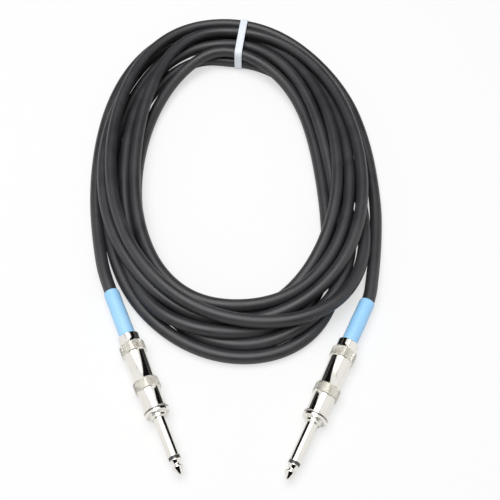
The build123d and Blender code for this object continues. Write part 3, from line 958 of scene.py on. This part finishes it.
# %% Line of the tie
TIE_ANGLE = math.radians(83)
TIE_ROWS = 260
BUNDLE_REACH = 45.0
DIRECTIONS = 1440
across = np.array([math.cos(TIE_ANGLE), math.sin(TIE_ANGLE), 0])
lengthwise = np.array([math.sin(TIE_ANGLE), -math.cos(TIE_ANGLE), 0])
upwards = np.array([0.0, 0.0, 1.0])
tie_origin = np.array([*TIE_CENTRE, 0.0])


def in_space(flat):
    """Rows of (across, height) in the tie's plane, as directions or offsets in space."""
    return flat[:, :1] * across + flat[:, 1:] * upwards


def turns_under_tie():
    """Where the cable's line crosses the tie's plane: (across, height) of each turn, in mm."""
    seen = cable_line / MM - tie_origin
    side, near = seen @ lengthwise, np.abs(seen @ across) < BUNDLE_REACH
    crossing = np.nonzero((side[:-1] * side[1:] < 0) & near[:-1])[0]
    share = (side[crossing] / (side[crossing] - side[crossing + 1]))[:, None]
    met = seen[crossing] * (1 - share) + seen[crossing + 1] * share
    return np.column_stack([met @ across, met[:, 2]])


def strap_line(turns, clearance):
    """Outline round circles: for each direction, the turn furthest out in it, plus the cable's
    radius and `clearance` that way; then evenly spaced by length."""
    direction = angles_round(DIRECTIONS)
    outwards = np.stack([np.cos(direction), np.sin(direction)], axis=1)
    furthest = turns[np.argmax(turns @ outwards.T, axis=0)]
    line = furthest + (CABLE_RADIUS + clearance) * outwards
    loop = np.vstack([line, line[:1]])
    travelled = run_along(loop)
    even = np.linspace(0, travelled[-1], TIE_ROWS, endpoint=False)
    spaced = np.stack([np.interp(even, travelled, loop[:, k]) for k in (0, 1)], axis=1)
    return spaced, travelled[-1]


tied = turns_under_tie()
flat_line, tie_length = strap_line(tied, TIE_THICKNESS / 2 + TIE_GAP)
print(len(tied), "turns in the tie, strap", round(tie_length, 1), "mm round")

# %% [markdown]
# The strap's section, a thin rounded strip with ribs along it, is carried along that line, with
# its ribbed top facing out from the bundle.

# %% Tie strap
TIE_WIDTH = 5.2
TIE_RIBS = 6
TIE_COLUMNS = 96
SIDE_POWER, TOP_POWER = 0.35, 0.5
RIB_DEPTH = 0.12
TOP_FROM = 0.3


def strip_section(width, thickness, ribs, columns):
    """Closed outline of a strip (place across it, height): signed powers of cosine and sine,
    and on the top a shallow cosine wave for each rib."""
    t = angles_round(columns)
    place = width / 2 * signed_power(np.cos(t), SIDE_POWER)
    height = thickness / 2 * signed_power(np.sin(t), TOP_POWER)
    wave = RIB_DEPTH * thickness * (1 + np.cos(2 * np.pi * ribs * place / width))
    return place, height - wave * (np.sin(t) > TOP_FROM)


def band(name, line, along, out, section, map_length, wrap):
    """Carry a section along a line: point = line + place * along + height * out."""
    place, height = section
    points = line[:, None] + place[:, None] * along[:, None] + height[:, None] * out[:, None]
    perimeter = np.linspace(0, 2 * TIE_WIDTH, len(place) + 1)
    mesh = grid_mesh(name, points * MM, tie_white, perimeter,
                     np.linspace(0, map_length, len(line) + 1), wrap)
    return closed_object(name, mesh)


tangent = unit(np.roll(flat_line, -1, axis=0) - np.roll(flat_line, 1, axis=0))
outward = np.column_stack([tangent[:, 1], -tangent[:, 0]])
strap = band("tie_strap", tie_origin + in_space(flat_line), np.tile(lengthwise, (TIE_ROWS, 1)),
             in_space(outward), strip_section(TIE_WIDTH, TIE_THICKNESS, TIE_RIBS, TIE_COLUMNS),
             tie_length, wrap=True)
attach(strap, "cable")
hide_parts("cable_tie")
print(strap.name, len(strap.data.polygons), "faces")

# %% [markdown]
# The strap's two ends are twisted together and folded along the back of the bundle. Each end is
# a narrow strip wound round the other: a section carried along a helix, the second strip half
# a turn behind the first.

# %% Twisted ends
TWIST_LENGTH, TWIST_MARGIN = 11.0, 0.5
TWIST_WIDTH, TWIST_THICKNESS, TWIST_COLUMNS = 1.5, 0.5, 24
TWIST_TURNS = 2.5
TWIST_ROWS = 120
TWIST_BEHIND = 1.3
TWIST_SPREAD, TWIST_OPENING = 0.28, 0.35
furthest_back = flat_line[np.argmax(flat_line[:, 0])] + [TWIST_BEHIND, 0]
twist_start = tie_origin + in_space(furthest_back[None]) + TWIST_MARGIN * lengthwise


def twisted_strip(name, phase):
    """Helix of `TWIST_TURNS` turns about a line along the cable, opening with the fourth power
    of the distance. The strip lies flat round it."""
    t = np.linspace(0, 1, TWIST_ROWS)[:, None]
    angle = 2 * np.pi * TWIST_TURNS * t + phase
    spoke = in_space(np.hstack([np.cos(angle), np.sin(angle)]))
    flat_way = in_space(np.hstack([-np.sin(angle), np.cos(angle)]))
    spread = TWIST_SPREAD + TWIST_OPENING * t ** 4
    line = twist_start + t * (TWIST_LENGTH - 2 * TWIST_MARGIN) * lengthwise + spread * spoke
    section = strip_section(TWIST_WIDTH, TWIST_THICKNESS, 0, TWIST_COLUMNS)
    return band(name, line, flat_way, spoke, section, TWIST_LENGTH, wrap=False)


twists = [twisted_strip(f"tie_twist_{k + 1}", k * math.pi) for k in (0, 1)]
for twist in twists:
    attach(twist, "cable")
print("twisted ends", TWIST_LENGTH, "mm long")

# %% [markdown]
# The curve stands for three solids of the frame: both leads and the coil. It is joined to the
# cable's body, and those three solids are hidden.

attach(cable, "cable")
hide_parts("cable_lead_a", "cable_lead_b", "cable_coil")

# %% [markdown]
# ## Floor, world and light
#
# Small products are often shown on white that runs out of the picture. The floor is matt and
# catches the soft shadow; for rays that come straight from the camera it is mixed with plain
# white, so that it stays clean without more light on the object.

# %% Floor
FLOOR_HALF = 2.0
FLOOR_WHITE = 0.62
WHITE = (1, 1, 1, 1)


def flat_panel(name, low, high, material):
    """One flat face between two opposite corners, with two sides along X: part of the stage."""
    mesh = bpy.data.meshes.new(name)
    mesh.from_pydata([low, (high[0], *low[1:]), high, (low[0], *high[1:])], [], [(0, 1, 2, 3)])
    mesh.materials.append(material)
    panel = in_scene(name, mesh)
    return panel


def emptied(owner):
    """The node tree of a new material or world, with nothing in it."""
    owner.use_nodes = True
    owner.node_tree.nodes.clear()
    return owner.node_tree


def floor_material():
    """Matt white; camera rays see it mixed with even white."""
    material = bpy.data.materials.new("studio_floor")
    tree = emptied(material)
    matt = add(tree, "ShaderNodeBsdfDiffuse", {"Color": (0.88, 0.88, 0.88, 1)})
    white = add(tree, "ShaderNodeEmission", {"Color": WHITE, "Strength": 1.0})
    seen = add(tree, "ShaderNodeLightPath").outputs["Is Camera Ray"]
    share = add(tree, "ShaderNodeMath", {0: seen, 1: FLOOR_WHITE}, operation="MULTIPLY")
    mixed = add(tree, "ShaderNodeMixShader", {0: share, 1: matt, 2: white})
    add(tree, "ShaderNodeOutputMaterial", {"Surface": mixed})
    return material


flat_panel("floor", (-FLOOR_HALF, -FLOOR_HALF, 0), (FLOOR_HALF, FLOOR_HALF, 0), floor_material())
print("floor", 2 * FLOOR_HALF, "m square")

# %% [markdown]
# The world is a pale, even room. One large softbox overhead draws the long highlights along
# every turn, and reflections see it too. Polished metal only looks like metal with something
# dark to mirror, so a dark card stands behind the coil and one in front of it, and a grey bar
# hangs overhead. Only reflections see those three.

# %% World and lights
ROOM_LIGHT = 0.38
ROOM_COLOUR = (1.0, 0.995, 0.985, 1)
SOFTBOX_POWER = 15.5
NEARLY_BLACK, PALE_GREY = 0.006, 0.72


def room():
    """Even pale world; white for rays from the camera and for reflections."""
    world = bpy.data.worlds.new("room")
    tree = emptied(world)
    glow = add(tree, "ShaderNodeBackground", {"Color": ROOM_COLOUR, "Strength": ROOM_LIGHT})
    white = add(tree, "ShaderNodeBackground", {"Color": WHITE, "Strength": 1.0})
    path = add(tree, "ShaderNodeLightPath").outputs
    seen = add(tree, "ShaderNodeMath", {0: path["Is Camera Ray"], 1: path["Is Glossy Ray"]},
               operation="MAXIMUM")
    mixed = add(tree, "ShaderNodeMixShader", {0: seen, 1: glow, 2: white})
    add(tree, "ShaderNodeOutputWorld", {"Surface": mixed})
    return world


def softbox(name, place, aim, width, height, power):
    """Rectangular lamp at `place`, tilted and turned to face `aim`."""
    lamp = bpy.data.lights.new(name, "AREA")
    lamp.shape = "RECTANGLE"
    lamp.size, lamp.size_y = width, height
    lamp.energy = power
    made = in_scene(name, lamp)
    away = np.array(place) - np.array(aim)
    made.location = place
    made.rotation_euler = (math.atan2(math.hypot(away[0], away[1]), away[2]), 0,
                           math.atan2(away[0], -away[1]))


def reflected_card(name, low, high, tone):
    """A panel of even brightness `tone` that only reflections see."""
    material = bpy.data.materials.new(name)
    tree = emptied(material)
    even = add(tree, "ShaderNodeEmission", {"Color": WHITE, "Strength": tone})
    add(tree, "ShaderNodeOutputMaterial", {"Surface": even})
    card = flat_panel(name, low, high, material)
    card.visible_camera = card.visible_diffuse = card.visible_shadow = False


scene.world = room()
softbox("overhead_softbox", (-0.15, 0.15, 1.3), (0, 0.1, 0), 1.2, 1.0, SOFTBOX_POWER)
reflected_card("dark_card_behind", (-1.1, 0.75, 0.0), (1.1, 0.75, 0.92), NEARLY_BLACK)
reflected_card("dark_card_in_front", (-1.6, -1.0, 0.3), (1.6, -1.0, 1.6), NEARLY_BLACK)
reflected_card("grey_bar_overhead", (-1.2, 0.40, 1.25), (1.2, 0.49, 1.25), PALE_GREY)
print("room light", ROOM_LIGHT, "softbox", SOFTBOX_POWER, "W")

# %% [markdown]
# ## View settings
#
# The Standard view shows a colour as it is written.

# %% View settings
scene.view_settings.view_transform = "Standard"
